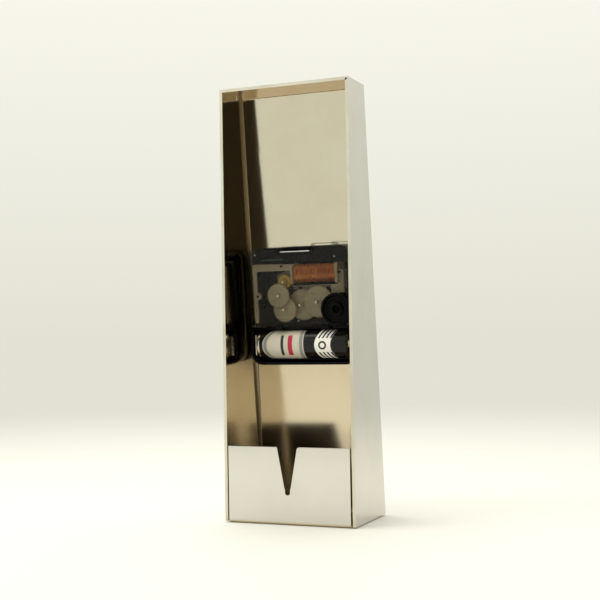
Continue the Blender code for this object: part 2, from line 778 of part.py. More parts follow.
def make_electronics(frame):
    board = rounded(rectangle(-24.6, -11.0, -8.4, 22.6), 1.5)
    holes = [circle(1.4, at, 12) for at in BRIDGE_POSTS[:2]]
    new_object("circuit_board", prism(board, 3.0, 4.0, holes), "board", CENTRE, frame)
    chip = turned([(4.3, 3.0), (4.9, 2.8), (5.4, 1.9), (5.6, 0.8)], (-17.6, 3.0), 16)
    new_object("driver_chip", chip, "epoxy", CENTRE, frame)
    crystal = turned([(-3.2, 0.9), (-3.0, 1.0), (2.8, 1.0), (3.0, 0.9)], count=16)
    bmesh.ops.rotate(crystal, verts=crystal.verts, matrix=Matrix.Rotation(math.pi / 2, 3, "X"))
    bmesh.ops.translate(crystal, verts=crystal.verts, vec=(-15.4 * MM, 12.6 * MM, 5.35 * MM))
    new_object("quartz_crystal", crystal, "spring_steel", CENTRE, frame)


def make_battery(frame):
    """The cell lies across the bay, negative end on the left seen from behind."""
    body_end = CELL_RIGHT - NUB_LEN
    profile = [
        (CELL_LEFT, CELL_R - 1.6),
        (CELL_LEFT + 0.3, CELL_R - 0.5),
        (CELL_LEFT + 0.7, CELL_R),
        (body_end - 0.5, CELL_R),
        (body_end, CELL_R - 0.5),
        (body_end + 0.02, NUB_R),
        (CELL_RIGHT - 0.2, NUB_R),
        (CELL_RIGHT, NUB_R - 0.3),
    ]
    cell = sideways(turned(profile, count=32), (0, CELL_W))
    new_object("battery_cell", cell, "cell_jacket", (0.0, CELL_V), frame)

    leaf = 0.3
    far, near = CELL_LEFT - 1.0, CELL_LEFT - 0.62
    bow = [(far, 3.0), (far, 5.0), (near, 7.6), (near, 10.4), (far, 12.6)]
    strip = bow + [(u + leaf, w) for u, w in reversed(bow)]
    low, high = CELL_V - 5.0, CELL_V + 5.0
    negative = along_y(strip, low, high)
    new_object("battery_contact_negative", negative, "spring_steel", CENTRE, frame)
    flat = rectangle(CELL_RIGHT + 0.35, CELL_RIGHT + 0.6, 3.0, 12.6)
    positive = along_y(flat, low, high)
    new_object("battery_contact_positive", positive, "spring_steel", CENTRE, frame)


# ---------------------------------------------------------------- dial side


def make_fixings(frame):
    bush = prism(circle(BUSH_R, count=24), -4.7, 2.6, [circle(HOUR_PIPE_R + 0.1, count=24)])
    new_object("mounting_bush", bush, "brass", CENTRE, frame)
    rubber = tube(7.5, BUSH_R + 0.3, 0.15, 0.5, 24)
    new_object("rubber_washer", rubber, "rubber", CENTRE, frame)
    new_object("dial_washer", tube(6.8, BUSH_R + 0.3, -2.3, -1.8, 24), "brass", CENTRE, frame)
    nut = prism(circle(6.35, count=6), -4.3, -2.6, [circle(BUSH_R + 0.3, count=24)])
    new_object("mounting_nut", nut, "brass", CENTRE, frame)


def hand_outline(length, tail, root_w, tip_w):
    return [
        (-root_w / 2, -tail),
        (root_w / 2, -tail),
        (root_w / 2, 0.0),
        (tip_w / 2, length),
        (-tip_w / 2, length),
        (-root_w / 2, 0.0),
    ]


def make_hand(frame, name, blade, hub_r, bore_r, low, high, angle):
    """A flat hand that stands at angle degrees clockwise from twelve, seen from the dial side."""
    holes = [circle(bore_r)] if bore_r else ()
    hub = prism(circle(hub_r, count=24), low, high, holes)
    cuts = [prism(circle(bore_r), low - 1, high + 1)] if bore_r else []
    made = built(name, "hand_paint", [prism(blade, low + 0.05, high - 0.05), hub], CENTRE, frame, cuts)
    matrix = Matrix.Rotation(math.radians(angle), 4, "Z")
    made.data.transform(matrix)


def make_hands(frame):
    hour = hand_outline(HOUR_LEN, 5.0, 3.2, 3.2)
    make_hand(frame, "hour_hand", hour, 4.0, HOUR_PIPE_R + 0.3, -6.0, -5.4, HOUR_ANGLE)
    minute = hand_outline(MINUTE_LEN, 5.0, 2.4, 2.4)
    make_hand(frame, "minute_hand", minute, 3.1, MINUTE_PIPE_R + 0.3, -7.4, -6.8, MINUTE_ANGLE)
    second = hand_outline(SECOND_LEN, 8.0, 0.9, 0.6)
    make_hand(frame, "second_hand", second, 2.0, ARBOR_R + 0.3, -8.9, -8.3, SECOND_ANGLE)


def make_hour_marks(frame):
    """Four plain bars at twelve, three, six and nine."""
    for hour in (12, 3, 6, 9):
        bar = prism(rounded(rectangle(-0.8, 0.8, 23.5, 29.5), 0.4, 2), -2.1, -1.8)
        matrix = Matrix.Rotation(math.radians(30 * hour), 4, "Z")
        bmesh.ops.transform(bar, matrix=matrix, verts=bar.verts)
        new_object(f"hour_mark_{hour}", bar, "hand_paint", CENTRE, frame)


def main():
    clear_scene()
    make_case()
    frame = bpy.data.objects.new("movement_frame", None)
    bpy.context.collection.objects.link(frame)
    frame.matrix_world = movement_matrix()
    bpy.context.view_layer.update()
    make_going_train(frame)
    idler_at = make_motion_works(frame)
    make_base(frame, idler_at)
    make_cover(frame)
    make_bridge(frame)
    make_coil(frame)
    make_electronics(frame)
    make_battery(frame)
    make_fixings(frame)
    make_hands(frame)
    make_hour_marks(frame)


main()
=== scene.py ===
"""Looks of the mantel clock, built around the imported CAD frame.

Lengths written with MM are millimetres. Clock frame: +Z up, dial towards -Y, open back towards +Y.
Movement frame: origin on the hand shaft at the front plate's inner face, X across, Y up along the plate,
Z out of the movement's back. Its place comes from the frame's joints.
"""

import json
import math
import random

import bmesh
import bpy
from mathutils import Matrix, Vector

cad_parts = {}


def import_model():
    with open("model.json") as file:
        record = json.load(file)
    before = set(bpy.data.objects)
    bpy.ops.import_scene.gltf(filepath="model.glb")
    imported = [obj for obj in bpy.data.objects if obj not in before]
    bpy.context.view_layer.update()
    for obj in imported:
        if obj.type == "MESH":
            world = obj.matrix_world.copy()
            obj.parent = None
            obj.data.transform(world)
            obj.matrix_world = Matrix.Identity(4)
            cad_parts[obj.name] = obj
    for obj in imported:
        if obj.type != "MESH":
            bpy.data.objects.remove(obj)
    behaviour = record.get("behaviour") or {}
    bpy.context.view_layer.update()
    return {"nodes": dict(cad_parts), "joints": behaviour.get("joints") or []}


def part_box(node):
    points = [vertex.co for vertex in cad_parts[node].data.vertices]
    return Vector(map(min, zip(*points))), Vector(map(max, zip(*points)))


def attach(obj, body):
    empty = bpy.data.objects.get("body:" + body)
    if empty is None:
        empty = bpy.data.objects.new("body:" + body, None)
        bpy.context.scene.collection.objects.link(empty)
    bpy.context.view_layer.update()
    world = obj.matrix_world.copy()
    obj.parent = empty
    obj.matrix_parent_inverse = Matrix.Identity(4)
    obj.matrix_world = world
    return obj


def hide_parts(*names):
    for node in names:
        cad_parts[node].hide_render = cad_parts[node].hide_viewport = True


MM = 0.001
SHARP_ANGLE = 35.0

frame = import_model()
joints = {joint["name"]: joint for joint in frame["joints"]}


# ---------------------------------------------------------------- places taken from the frame

SHAFT_AXIS = Vector(joints["second_hand_turn"]["axis"]).normalized()
SHAFT_JOINT_W = -8.0 * MM
SHAFT = Vector(joints["second_hand_turn"]["pos_m"]) - SHAFT_AXIS * SHAFT_JOINT_W
UP_PLATE = Vector((0.0, -SHAFT_AXIS.z, SHAFT_AXIS.y))
TO_CLOCK = Matrix(
    (
        (-1.0, 0.0, 0.0, SHAFT.x),
        (0.0, UP_PLATE.y, SHAFT_AXIS.y, SHAFT.y),
        (0.0, UP_PLATE.z, SHAFT_AXIS.z, SHAFT.z),
        (0.0, 0.0, 0.0, 1.0),
    )
)
TO_MOVEMENT = TO_CLOCK.inverted()
LEAN = math.atan2(UP_PLATE.y, UP_PLATE.z)


def movement_place(joint):
    """(x, y) of a joint's axis in the movement frame, in millimetres."""
    spot = TO_MOVEMENT @ Vector(joints[joint]["pos_m"])
    return spot.x / MM, spot.y / MM


CENTRE = (0.0, 0.0)
ROTOR_AT = movement_place("rotor_spin")
FIFTH_AT = movement_place("fifth_wheel_turn")
FOURTH_AT = movement_place("fourth_wheel_turn")
THIRD_AT = movement_place("third_wheel_turn")
KNOB_AT = movement_place("setting_knob_turn")
CASE_LOW, CASE_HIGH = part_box("case_shell")
CASE_W = (CASE_HIGH.x - CASE_LOW.x) / MM
CASE_H = (CASE_HIGH.z - CASE_LOW.z) / MM
REAR = CASE_HIGH.y / MM
SHEET = 1.5
ACROSS_PLATE = SHEET / math.cos(LEAN)
HALF_W = CASE_W / 2
INNER_W = HALF_W - SHEET


# ---------------------------------------------------------------- outlines and meshes


def circle(radius, centre=CENTRE, count=48, phase=0.0):
    """Points round a circle, from the angle phase on."""
    step = 2 * math.pi / count
    return [
        (
            centre[0] + radius * math.cos(phase + i * step),
            centre[1] + radius * math.sin(phase + i * step),
        )
        for i in range(count)
    ]


def rectangle(left, right, low, high):
    """Corners of an upright rectangle, anticlockwise from the lower left."""
    return [(left, low), (right, low), (right, high), (left, high)]


def wrapped(angle):
    """The same turn as an angle from -pi to pi."""
    return (angle + math.pi) % (2 * math.pi) - math.pi


def rounded(points, radius, steps=8):
    """The outline with each corner turned into an arc that touches both of its sides."""
    made = []
    for i, corner in enumerate(points):
        r = radius[i] if isinstance(radius, (list, tuple)) else radius
        if r <= 0:
            made.append(corner)
            continue
        before, after = points[i - 1], points[(i + 1) % len(points)]
        back = math.atan2(before[1] - corner[1], before[0] - corner[0])
        on = math.atan2(after[1] - corner[1], after[0] - corner[0])
        half = wrapped(on - back) / 2
        reach = r / math.sin(abs(half))
        centre = [corner[k] + reach * (math.cos, math.sin)[k](back + half) for k in (0, 1)]
        side = math.copysign(math.pi / 2, half)
        sweep = wrapped((on + side) - (back - side))
        for k in range(steps + 1):
            angle = back - side + sweep * k / steps
            made.append((centre[0] + r * math.cos(angle), centre[1] + r * math.sin(angle)))
    return made


def prism(outline, low, high):
    """A plate from low to high along Z, each of its flat faces one polygon."""
    mesh = bmesh.new()
    levels = [[mesh.verts.new((x * MM, y * MM, z * MM)) for x, y in outline] for z in (low, high)]
    for level in levels:
        mesh.faces.new(level)
    for i in range(len(outline)):
        k = (i + 1) % len(outline)
        mesh.faces.new([levels[0][i], levels[0][k], levels[1][k], levels[1][i]])
    bmesh.ops.recalc_face_normals(mesh, faces=mesh.faces)
    return mesh


def turned(profile, centre=CENTRE, count=48, closed=False):
    """A solid turned about Z from (z, radius) points. closed joins the last point to the first."""
    mesh = bmesh.new()
    rings = [
        [mesh.verts.new((x * MM, y * MM, z * MM)) for x, y in circle(radius, centre, count)]
        for z, radius in profile
    ]
    pairs = list(zip(rings, rings[1:]))
    if closed:
        pairs.append((rings[-1], rings[0]))
    for lower, upper in pairs:
        for i in range(count):
            k = (i + 1) % count
            mesh.faces.new([lower[i], lower[k], upper[k], upper[i]])
    if not closed:
        mesh.faces.new(rings[0])
        mesh.faces.new(rings[-1])
    bmesh.ops.recalc_face_normals(mesh, faces=mesh.faces)
    return mesh


def swapped(mesh, matrix):
    """The mesh in new axes, with its faces still turned outwards."""
    bmesh.ops.transform(mesh, matrix=matrix, verts=mesh.verts)
    bmesh.ops.recalc_face_normals(mesh, faces=mesh.faces)
    return mesh


def along_x(mesh):
    """Turns a mesh made along Z to run along X: (x, y, z) goes to (z, x, y)."""
    return swapped(mesh, Matrix(((0, 0, 1, 0), (1, 0, 0, 0), (0, 1, 0, 0), (0, 0, 0, 1))))


def along_y(mesh):
    """Turns a mesh made along Z to run along Y: (x, y, z) goes to (x, z, y)."""
    return swapped(mesh, Matrix(((1, 0, 0, 0), (0, 0, 1, 0), (0, 1, 0, 0), (0, 0, 0, 1))))


def shade(target):
    """Smooth shading, broken at the sharp edges."""
    target.data.shade_smooth()
    target.data.set_sharp_from_angle(angle=math.radians(SHARP_ANGLE))


def new_piece(name, mesh, materials, matrix=None):
    """A named object from a mesh, placed by the matrix, with its materials and shading."""
    data = bpy.data.meshes.new(name)
    mesh.to_mesh(data)
    mesh.free()
    made = bpy.data.objects.new(name, data)
    bpy.context.collection.objects.link(made)
    if matrix is not None:
        made.matrix_world = matrix
    for item in materials:
        data.materials.append(item)
    shade(made)
    return made


def combine(target, meshes, operation):
    """Applies one exact Boolean per mesh to the target, in the target's own axes."""
    for mesh in meshes:
        data = bpy.data.meshes.new("helper")
        mesh.to_mesh(data)
        mesh.free()
        helper = bpy.data.objects.new("helper", data)
        bpy.context.collection.objects.link(helper)
        helper.matrix_world = target.matrix_world
        step = target.modifiers.new("join", "BOOLEAN")
        step.operation = operation
        step.solver = "EXACT"
        step.object = helper
        bake(target)
        bpy.data.objects.remove(helper, do_unlink=True)


def bake(target):
    """Turns the piece's modifiers into its mesh."""
    bpy.context.view_layer.update()
    graph = bpy.context.evaluated_depsgraph_get()
    made = bpy.data.meshes.new_from_object(target.evaluated_get(graph))
    target.modifiers.clear()
    target.data = made


def bevel(target, width, segments=3, angle=30.0):
    """Eases the edges sharper than angle, keeping the flat faces' shading flat."""
    step = target.modifiers.new("edge", "BEVEL")
    step.width = width * MM
    step.segments = segments
    step.limit_method = "ANGLE"
    step.angle_limit = math.radians(angle)
    step.harden_normals = True
    step.use_clamp_overlap = True


def built(name, meshes, materials, cuts=(), matrix=TO_CLOCK, edge=0.0, segments=3):
    """One piece from overlapping closed meshes, less the cuts, with its edges eased."""
    made = new_piece(name, meshes[0], materials, matrix)
    combine(made, meshes[1:], "UNION")
    combine(made, cuts, "DIFFERENCE")
    shade(made)
    if edge:
        bevel(made, edge, segments)
        bake(made)
    return made


def finish_piece(piece, body, slot, *nodes):
    """Puts the piece on its body, in place of the CAD nodes that it shows; the slot is not used."""
    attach(piece, body)
    if nodes:
        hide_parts(*nodes)


# ---------------------------------------------------------------- node materials


class Graph:
    """A small builder for a material's nodes."""

    def __init__(self, name, colour, roughness, metallic=0.0, **sockets):
        self.material = bpy.data.materials.new(name)
        self.material.use_nodes = True
        self.tree = self.material.node_tree
        self.shader = self.tree.nodes["Principled BSDF"]
        self.shader.inputs["Base Color"].default_value = (*colour, 1.0)
        self.shader.inputs["Roughness"].default_value = roughness
        self.shader.inputs["Metallic"].default_value = metallic
        for key, value in sockets.items():
            self.shader.inputs[key.replace("_", " ")].default_value = value
        self.coords = self.node("ShaderNodeTexCoord").outputs["Object"]

    def node(self, kind, **settings):
        made = self.tree.nodes.new(kind)
        for key, value in settings.items():
            setattr(made, key, value)
        return made

    def plug(self, value, socket):
        if isinstance(value, bpy.types.NodeSocket):
            self.tree.links.new(value, socket)
        else:
            socket.default_value = value

    def stretched(self, scale):
        made = self.node("ShaderNodeMapping")
        self.plug(self.coords, made.inputs["Vector"])
        made.inputs["Scale"].default_value = scale
        return made.outputs[0]

    def noise(self, scale, detail=3.0, rough=0.5, vector=None):
        made = self.node("ShaderNodeTexNoise")
        self.plug(self.coords if vector is None else vector, made.inputs["Vector"])
        made.inputs["Scale"].default_value = scale
        made.inputs["Detail"].default_value = detail
        made.inputs["Roughness"].default_value = rough
        return made.outputs["Fac"]

    def math(self, operation, *values):
        made = self.node("ShaderNodeMath", operation=operation)
        for value, socket in zip(values, made.inputs):
            self.plug(value, socket)
        return made.outputs[0]

    def ramped(self, value, low, high, to_low=0.0, to_high=1.0):
        """value from low..high mapped smoothly onto to_low..to_high and held there outside."""
        made = self.node("ShaderNodeMapRange", interpolation_type="SMOOTHSTEP")
        for item, socket in zip((value, low, high, to_low, to_high), made.inputs):
            self.plug(item, socket)
        return made.outputs[0]

    def mixed(self, share, first, second):
        made = self.node("ShaderNodeMix", data_type="RGBA")
        self.plug(share, made.inputs["Factor"])
        colours = [s for s in made.inputs if s.type == "RGBA"]
        for value, socket in zip((first, second), colours):
            self.plug((*value, 1.0) if isinstance(value, tuple) else value, socket)
        return [s for s in made.outputs if s.type == "RGBA"][0]

    def split(self):
        """The place on the surface, as X, Y and Z."""
        made = self.node("ShaderNodeSeparateXYZ")
        self.plug(self.coords, made.inputs[0])
        return made.outputs["X"], made.outputs["Y"], made.outputs["Z"]

    def colour(self, value):
        self.plug(value, self.shader.inputs["Base Color"])

    def roughness(self, value):
        self.plug(value, self.shader.inputs["Roughness"])

    def surface(self, value):
        """Shows value in place of the Principled shader."""
        output = [n for n in self.tree.nodes if n.type == "OUTPUT_MATERIAL"][0]
        self.plug(value, output.inputs["Surface"])

    def glow(self, colour):
        made = self.node("ShaderNodeEmission")
        made.inputs["Color"].default_value = (*colour, 1.0)
        return made.outputs[0]

    def bump(self, height, strength, distance):
        made = self.node("ShaderNodeBump")
        made.inputs["Strength"].default_value = strength
        made.inputs["Distance"].default_value = distance * MM
        self.plug(height, made.inputs["Height"])
        self.plug(made.outputs["Normal"], self.shader.inputs["Normal"])
        return self


def steel_outside():
    """Polished sheet: faint rolling lines, hand marks that dull it a little."""
    g = Graph("steel_outside", (0.65, 0.635, 0.575), 0.1, 1.0)
    lines = g.noise(260.0, 4.0, 0.6, g.stretched((1.0, 1.0, 0.04)))
    marks = g.noise(38.0, 5.0, 0.62)
    g.colour(g.mixed(g.ramped(marks, 0.35, 0.75), (0.662, 0.648, 0.590), (0.628, 0.612, 0.550)))
    g.roughness(g.math("ADD", g.ramped(marks, 0.45, 0.8, 0.07, 0.17), g.math("MULTIPLY", lines, 0.05)))
    return g.bump(lines, 0.04, 0.05).material


def steel_inside():
    """The sheet's inner side: stains and a softer polish, on a browner base colour that is a painted
    reflection of a warm room.
    """
    # The brown base colour paints in the reflection of a warm room.
    g = Graph("steel_inside", (0.60, 0.52, 0.39), 0.12, 1.0)
    stains = g.noise(24.0, 6.0, 0.65)
    lines = g.noise(240.0, 4.0, 0.6, g.stretched((1.0, 1.0, 0.05)))
    g.colour(g.mixed(g.ramped(stains, 0.35, 0.72), (0.615, 0.530, 0.385), (0.585, 0.495, 0.350)))
    _, _, height = g.split()
    worn = g.math("ADD", g.ramped(height, 0.03, 0.075, 0.06, 0.0), g.math("MULTIPLY", lines, 0.05))
    g.roughness(g.math("ADD", g.ramped(stains, 0.4, 0.75, 0.07, 0.13), worn))
    return g.bump(lines, 0.05, 0.05).material


def steel_bend_painted_shade():
    """The stretched, duller metal in the hollow of the folds, its darker brown colour painted shade in the
    crease.
    """
    g = Graph("steel_bend_painted_shade", (0.42, 0.35, 0.23), 0.4, 1.0)
    draw = g.noise(180.0, 4.0, 0.6, g.stretched((1.0, 1.0, 0.06)))
    # The darker brown tones here are painted shade in the fold's hollow.
    g.colour(g.mixed(g.ramped(draw, 0.3, 0.7), (0.46, 0.385, 0.255), (0.36, 0.295, 0.185)))
    g.roughness(g.ramped(draw, 0.3, 0.7, 0.34, 0.48))
    return g.bump(draw, 0.08, 0.05).material


def steel_edge():
    """Cut and deburred sheet edge."""
    g = Graph("steel_edge", (0.62, 0.57, 0.45), 0.26, 1.0)
    grit = g.noise(1400.0, 3.0, 0.6)
    burn = g.noise(70.0, 2.0, 0.5)
    g.colour(g.mixed(g.ramped(burn, 0.4, 0.75), (0.665, 0.615, 0.495), (0.575, 0.515, 0.395)))
    g.roughness(g.ramped(grit, 0.3, 0.7, 0.30, 0.42))
    return g.bump(grit, 0.05, 0.03).material


def moulded(name, colour, roughness, speckle=0.15, alpha=1.0, coat=0.0, shine=0.5):
    """Moulded plastic: a little cloudiness in its colour and fine orange peel on its surface."""
    g = Graph(name, colour, roughness, Coat_Weight=coat, Alpha=alpha, Specular_IOR_Level=shine)
    cloud = g.noise(90.0, 4.0, 0.55)
    peel = g.noise(900.0, 3.0, 0.5)
    darker = tuple(c * (1 - speckle) for c in colour)
    lighter = tuple(min(1.0, c * (1 + speckle)) for c in colour)
    g.colour(g.mixed(g.ramped(cloud, 0.3, 0.7), darker, lighter))
    g.roughness(g.ramped(cloud, 0.3, 0.7, roughness * 0.8, roughness * 1.25))
    return g.bump(peel, 0.12, 0.04).material


def metal(name, colour, roughness):
    """Plain metal with fine scratches along one way and a little tarnish."""
    g = Graph(name, colour, roughness, 1.0)
    scratch = g.noise(700.0, 4.0, 0.6, g.stretched((1.0, 0.08, 1.0)))
    tarnish = g.noise(120.0, 4.0, 0.6)
    dark = tuple(c * 0.78 for c in colour)
    g.colour(g.mixed(g.ramped(tarnish, 0.4, 0.8), colour, dark))
    g.roughness(g.ramped(scratch, 0.3, 0.7, roughness * 0.7, roughness * 1.4))
    return g.bump(scratch, 0.15, 0.03).material


def copper():
    """Enamelled copper wire, brighter in patches."""
    g = Graph("copper_winding", (0.80, 0.30, 0.10), 0.32, 0.7, Coat_Weight=0.2)
    strands = g.noise(900.0, 3.0, 0.6, g.stretched((1.0, 0.15, 0.15)))
    patch = g.noise(150.0, 4.0, 0.6)
    g.colour(g.mixed(g.ramped(patch, 0.35, 0.7), (0.98, 0.37, 0.11), (0.66, 0.22, 0.07)))
    g.roughness(g.ramped(strands, 0.3, 0.7, 0.22, 0.45))
    return g.bump(strands, 0.08, 0.03).material


def circuit():
    """Green laminate with slanting tracks."""
    g = Graph("circuit_laminate", (0.10, 0.22, 0.10), 0.4, Coat_Weight=0.5)
    x, y, _ = g.split()
    tracks = g.math("FRACT", g.math("MULTIPLY", g.math("ADD", x, g.math("MULTIPLY", y, 0.6)), 420.0))
    g.colour(g.mixed(g.ramped(tracks, 0.62, 0.7), (0.06, 0.15, 0.06), (0.14, 0.30, 0.12)))
    return g.bump(tracks, 0.2, 0.05).material


LABEL_LEFT, LABEL_RIGHT, LABEL_RIM, LABEL_FIELD = -20.2, 1.7, 0.5, 2.3
LABEL_HALF_H, LABEL_BULGE, BULGE_POWER = 6.6, 3.4, 2.3
BAR_REACH, DARK_BAR, RED_BAR = 4.9, (-10.4, -8.9), (-6.6, -4.2)
STRIPED_LEFT, STRIPED_W, STRIPED_BOW, STRIPE_PITCH, HEART_REACH = 7.5, 8.3, 0.055, 2.05, 3.4
RING_AT, RING_IN, RING_OUT = 11.6, 1.2, 2.1
PRINT_SOFT = 0.18


def jacket():
    """The cell's printed sleeve: black, with a pale rounded label, a band and a striped label."""
    g = Graph("cell_jacket", (0.02, 0.02, 0.02), 0.22, 0.0, Coat_Weight=0.08, Specular_IOR_Level=0.2)
    x, y, _ = g.split()
    u, v = g.math("DIVIDE", x, MM), g.math("DIVIDE", y, MM)
    v2 = g.math("MULTIPLY", v, v)

    def after(value, limit):
        """1 where value is past limit, 0 before it."""
        return g.ramped(g.math("SUBTRACT", value, limit), -PRINT_SOFT, PRINT_SOFT)

    def before(value, limit):
        return g.math("SUBTRACT", 1.0, after(value, limit))

    def both(*shares):
        made = shares[0]
        for share in shares[1:]:
            made = g.math("MULTIPLY", made, share)
        return made

    height = g.math("ABSOLUTE", g.math("DIVIDE", v, LABEL_HALF_H))
    bulge = g.math("MULTIPLY", g.math("POWER", height, BULGE_POWER), LABEL_BULGE)
    from_left = g.math("SUBTRACT", g.math("ADD", u, -LABEL_LEFT), bulge)
    from_right = g.math("SUBTRACT", LABEL_RIGHT, u)
    edge = g.math("MINIMUM", from_left, from_right)
    label = after(edge, 0.0)
    rim = both(after(edge, LABEL_RIM), before(edge, LABEL_FIELD))
    field = after(edge, LABEL_FIELD)
    fold = g.math("ABSOLUTE", v)
    inside = before(fold, BAR_REACH)
    dark_bar = both(after(u, DARK_BAR[0]), before(u, DARK_BAR[1]), inside)
    red_bar = both(after(u, RED_BAR[0]), before(u, RED_BAR[1]), inside)

    bow = g.math("MULTIPLY", v2, STRIPED_BOW)
    lean = g.math("SUBTRACT", g.math("SUBTRACT", u, STRIPED_LEFT), bow)
    second = both(after(lean, 0.0), before(lean, STRIPED_W))
    sweep = g.math("FRACT", g.math("DIVIDE", lean, STRIPE_PITCH))
    stripes = g.math("SUBTRACT", 1.0, g.ramped(sweep, 0.52, 0.62))
    white = both(second, g.math("MAXIMUM", stripes, before(fold, HEART_REACH)))
    along = g.math("POWER", g.math("SUBTRACT", u, RING_AT), 2.0)
    dot = g.math("SQRT", g.math("ADD", v2, along))
    ring = both(after(dot, RING_IN), before(dot, RING_OUT))

    scuff = g.noise(300.0, 4.0, 0.6)
    base = g.mixed(g.ramped(scuff, 0.3, 0.8), (0.004, 0.004, 0.003), (0.012, 0.011, 0.009))
    tone = g.mixed(label, base, (0.54, 0.51, 0.43))
    tone = g.mixed(rim, tone, (0.25, 0.245, 0.22))
    tone = g.mixed(field, tone, (0.57, 0.53, 0.43))
    tone = g.mixed(dark_bar, tone, (0.03, 0.03, 0.03))
    tone = g.mixed(red_bar, tone, (0.42, 0.02, 0.05))
    tone = g.mixed(white, tone, (0.86, 0.84, 0.78))
    tone = g.mixed(g.math("MULTIPLY", ring, white), tone, (0.03, 0.03, 0.03))
    g.colour(tone)
    g.roughness(g.ramped(scuff, 0.3, 0.8, 0.16, 0.3))
    return g.bump(scuff, 0.08, 0.03).material


STEEL_OUT, STEEL_IN = steel_outside(), steel_inside()
STEEL_EDGE, STEEL_BEND_SHADED = steel_edge(), steel_bend_painted_shade()
BLACK = moulded("black_gloss", (0.002, 0.002, 0.0022), 0.16, 0.3, shine=0.07)
BLACK_MATTE = moulded("black_satin", (0.002, 0.002, 0.0022), 0.28, 0.3, shine=0.05)
SMOKE = moulded("smoke_cover", (0.012, 0.009, 0.004), 0.07, 0.2, alpha=0.30, shine=0.3)
CLEAR = moulded("milky_wheel", (0.60, 0.50, 0.30), 0.3, 0.08)
CREAM = moulded("cream_moulding", (0.58, 0.48, 0.29), 0.42, 0.08)
AMBER = moulded("amber_moulding", (0.66, 0.42, 0.06), 0.3, 0.15)
RUBBER = moulded("foam_rubber", (0.02, 0.02, 0.02), 0.85, 0.3)
EPOXY = moulded("epoxy_blob", (0.012, 0.012, 0.013), 0.25, 0.3)
LACQUER = moulded("black_lacquer", (0.012, 0.012, 0.013), 0.22, 0.2, coat=0.5)
PLATED = metal("plated_steel", (0.80, 0.78, 0.72), 0.2)
IRON = metal("soft_iron", (0.30, 0.26, 0.20), 0.45)
BRASS = metal("yellow_brass", (0.80, 0.62, 0.32), 0.22)
COPPER = copper()
CIRCUIT = circuit()
JACKET = jacket()


# ---------------------------------------------------------------- case

FLAP_H = 36.7
NOTCH_X, NOTCH_TOP_W, NOTCH_ROOT_W = 0.6, 9.9, 3.2
NOTCH_V_DEPTH, NOTCH_DEPTH, NOTCH_SLOT_R, NOTCH_SHOULDER_R = 19.4, 22.7, 1.3, 1.2
NIB_STEP = 0.3
GAP_LEFT, GAP_RIGHT, FLANK_LIFT = 0.9, 0.6, 0.6
BEND_R, INNER_BEND_R, BEND_STEPS = 2.0, 1.6, 8
SHAFT_HOLE_R = 4.3
CORNER_RELIEF_R, CORNER_RELIEF_IN = 0.55, 1.1
WELD_R = 0.75
STEELS = [STEEL_OUT, STEEL_IN, STEEL_EDGE, STEEL_BEND_SHADED]
OUTSIDE, INSIDE, CUT_EDGE, FOLD = range(4)


def plate_y(z, inside):
    """Where the front plate's face is at height z."""
    return -REAR + z * math.tan(LEAN) + (ACROSS_PLATE if inside else 0.0)


def notch_outline():
    """The hanging notch: a V with round shoulders, two nibs at its foot and a slot with a round end."""
    half_top, turn = NOTCH_TOP_W / 2, math.pi / 2
    centre = FLAP_H - NOTCH_DEPTH + NOTCH_SLOT_R
    side = [(half_top + NOTCH_SHOULDER_R, FLAP_H + 3)]
    for k in range(7):
        angle = turn * (1 - k / 6)
        out = NOTCH_SHOULDER_R * (1 - math.cos(angle))
        down = NOTCH_SHOULDER_R * (1 - math.sin(angle))
        side.append((half_top + out, FLAP_H - down))
    side.append((NOTCH_ROOT_W / 2, FLAP_H - NOTCH_V_DEPTH))
    side.append((NOTCH_SLOT_R, FLAP_H - NOTCH_V_DEPTH - NIB_STEP))
    side += [(x, centre + z) for x, z in circle(NOTCH_SLOT_R, CENTRE, 24, -turn)[6:0:-1]]
    left = [(NOTCH_X - x, z) for x, z in side]
    right = [(NOTCH_X + x, z) for x, z in reversed(side)]
    return left + [(NOTCH_X, centre - NOTCH_SLOT_R)] + right


def inner_bend(side):
    """The hollow fold between the front plate and one side, as a strip that runs up the plate."""
    bite = 0.3
    hollow = [
        (INNER_W - INNER_BEND_R * (1 - math.sin(turn)), INNER_BEND_R * (1 - math.cos(turn)))
        for turn in (math.pi / 2 * k / BEND_STEPS for k in range(BEND_STEPS + 1))
    ]
    behind = [(INNER_W + bite, INNER_BEND_R), (INNER_W + bite, -bite), (INNER_W - INNER_BEND_R, -bite)]
    outline = behind + hollow
    low = (SHEET - SHAFT.z / MM) / math.cos(LEAN)
    high = (CASE_H - SHEET - SHAFT.z / MM) / math.cos(LEAN)
    strip = along_y(prism([(side * x, w) for x, w in outline], low - bite, high + bite))
    bmesh.ops.transform(strip, matrix=TO_CLOCK, verts=strip.verts)
    return strip


